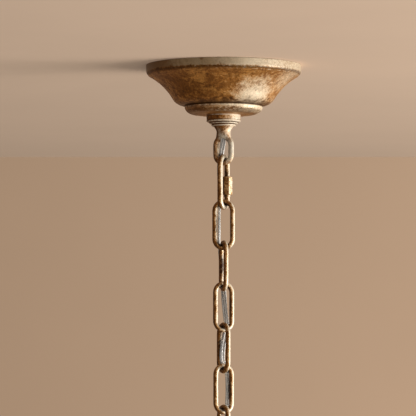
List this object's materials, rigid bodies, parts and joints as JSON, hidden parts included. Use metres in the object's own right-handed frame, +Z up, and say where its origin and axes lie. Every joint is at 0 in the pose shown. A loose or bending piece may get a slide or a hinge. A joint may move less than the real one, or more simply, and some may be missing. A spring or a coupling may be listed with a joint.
{
  "type": "chandelier suspension",
  "caption": "Gilt ceiling canopy with a collar loop, a threaded quick link and a chain of oval links woven with a clear twin cord.",
  "frame": {"origin": "on the ceiling, at the middle of the canopy's rim and of the two ceiling screw slots", "axes": "+Z up into the ceiling, the chain hangs along -Z, the ceiling bracket runs along X and the pictured side faces -Y"},
  "size_m": [0.1498, 0.1498, 0.41],
  "materials": {
    "gilt_metal": "antique gilt over dark umber, rubbed pale on the high places",
    "chain_metal": "dark antique brass",
    "quick_link_metal": "dark antique brass",
    "zinc_steel": "zinc plated",
    "green_screw": "green lacquer",
    "clear_cord": "clear sleeve over tinned and copper strands",
    "cap_plastic": "moulded"
  },
  "bodies": {
    "ceiling_set": {"ceiling_bracket": "zinc_steel", "earth_screw": "green_screw", "threaded_nipple": "zinc_steel", "upper_lock_nut": "zinc_steel", "lower_lock_nut": "zinc_steel", "collar_loop": "gilt_metal", "lead_live": "clear_cord", "lead_neutral": "clear_cord", "connector_live": "cap_plastic", "connector_neutral": "cap_plastic", "cord_length_1": "clear_cord"},
    "canopy": {"canopy": "gilt_metal"},
    "seating_ring": {"seating_ring": "gilt_metal"},
    "quick_link": {"quick_link": "quick_link_metal", "cord_length_2": "clear_cord"},
    "quick_link_nut": {"quick_link_nut": "quick_link_metal"},
    "chain_link_1": {"chain_link_1": "chain_metal", "cord_length_3": "clear_cord"},
    "chain_link_2": {"chain_link_2": "chain_metal", "cord_length_4": "clear_cord"},
    "chain_link_3": {"chain_link_3": "chain_metal", "cord_length_5": "clear_cord"},
    "chain_link_4": {"chain_link_4": "chain_metal", "cord_length_6": "clear_cord"},
    "chain_link_5": {"chain_link_5": "chain_metal", "cord_length_7": "clear_cord"},
    "chain_link_6": {"chain_link_6": "chain_metal", "cord_length_8": "clear_cord"},
    "fixture_loop": {"fixture_loop": "gilt_metal"}
  },
  "joints": [
    {"name": "canopy_slide", "type": "slide", "parent": "ceiling_set", "child": "canopy", "axis": [0, 0, -1], "range_m": [0, 0.022]},
    {"name": "ring_turn", "type": "hinge", "parent": "canopy", "child": "seating_ring", "pos_m": [0, 0, -0.054], "axis": [0, 0, 1], "continuous": true},
    {"name": "quick_link_nut_slide", "type": "slide", "parent": "quick_link", "child": "quick_link_nut", "axis": [0, 0, 1], "range_m": [0, 0.0104]},
    {"name": "quick_link_swing", "type": "hinge", "parent": "ceiling_set", "child": "quick_link", "pos_m": [0, 0, -0.0944], "axis": [0.9397, -0.342, 0], "range_deg": [-45, 45], "deforming": ["cord_length_1"]},
    {"name": "chain_link_1_swing", "type": "hinge", "parent": "quick_link", "child": "chain_link_1", "pos_m": [0, 0, -0.1373], "axis": [0.454, 0.891, 0], "range_deg": [-45, 45], "deforming": ["cord_length_2"]},
    {"name": "chain_link_2_swing", "type": "hinge", "parent": "chain_link_1", "child": "chain_link_2", "pos_m": [0, 0, -0.17658], "axis": [0.9903, -0.1392, 0], "range_deg": [-45, 45], "deforming": ["cord_length_3"]},
    {"name": "chain_link_3_swing", "type": "hinge", "parent": "chain_link_2", "child": "chain_link_3", "pos_m": [0, 0, -0.21608], "axis": [0.2588, -0.9659, 0], "range_deg": [-45, 45], "deforming": ["cord_length_4"]},
    {"name": "chain_link_4_swing", "type": "hinge", "parent": "chain_link_3", "child": "chain_link_4", "pos_m": [0, 0, -0.25558], "axis": [0.9063, 0.4226, 0], "range_deg": [-45, 45], "deforming": ["cord_length_5"]},
    {"name": "chain_link_5_swing", "type": "hinge", "parent": "chain_link_4", "child": "chain_link_5", "pos_m": [0, 0, -0.29508], "axis": [0.4848, -0.8746, 0], "range_deg": [-45, 45], "deforming": ["cord_length_6"]},
    {"name": "chain_link_6_swing", "type": "hinge", "parent": "chain_link_5", "child": "chain_link_6", "pos_m": [0, 0, -0.33458], "axis": [0.8746, 0.4848, 0], "range_deg": [-45, 45], "deforming": ["cord_length_7"]},
    {"name": "fixture_loop_swing", "type": "hinge", "parent": "chain_link_6", "child": "fixture_loop", "pos_m": [0, 0, -0.37408], "axis": [0.4848, -0.8746, 0], "range_deg": [-45, 45], "deforming": ["cord_length_8"]}
  ]
}
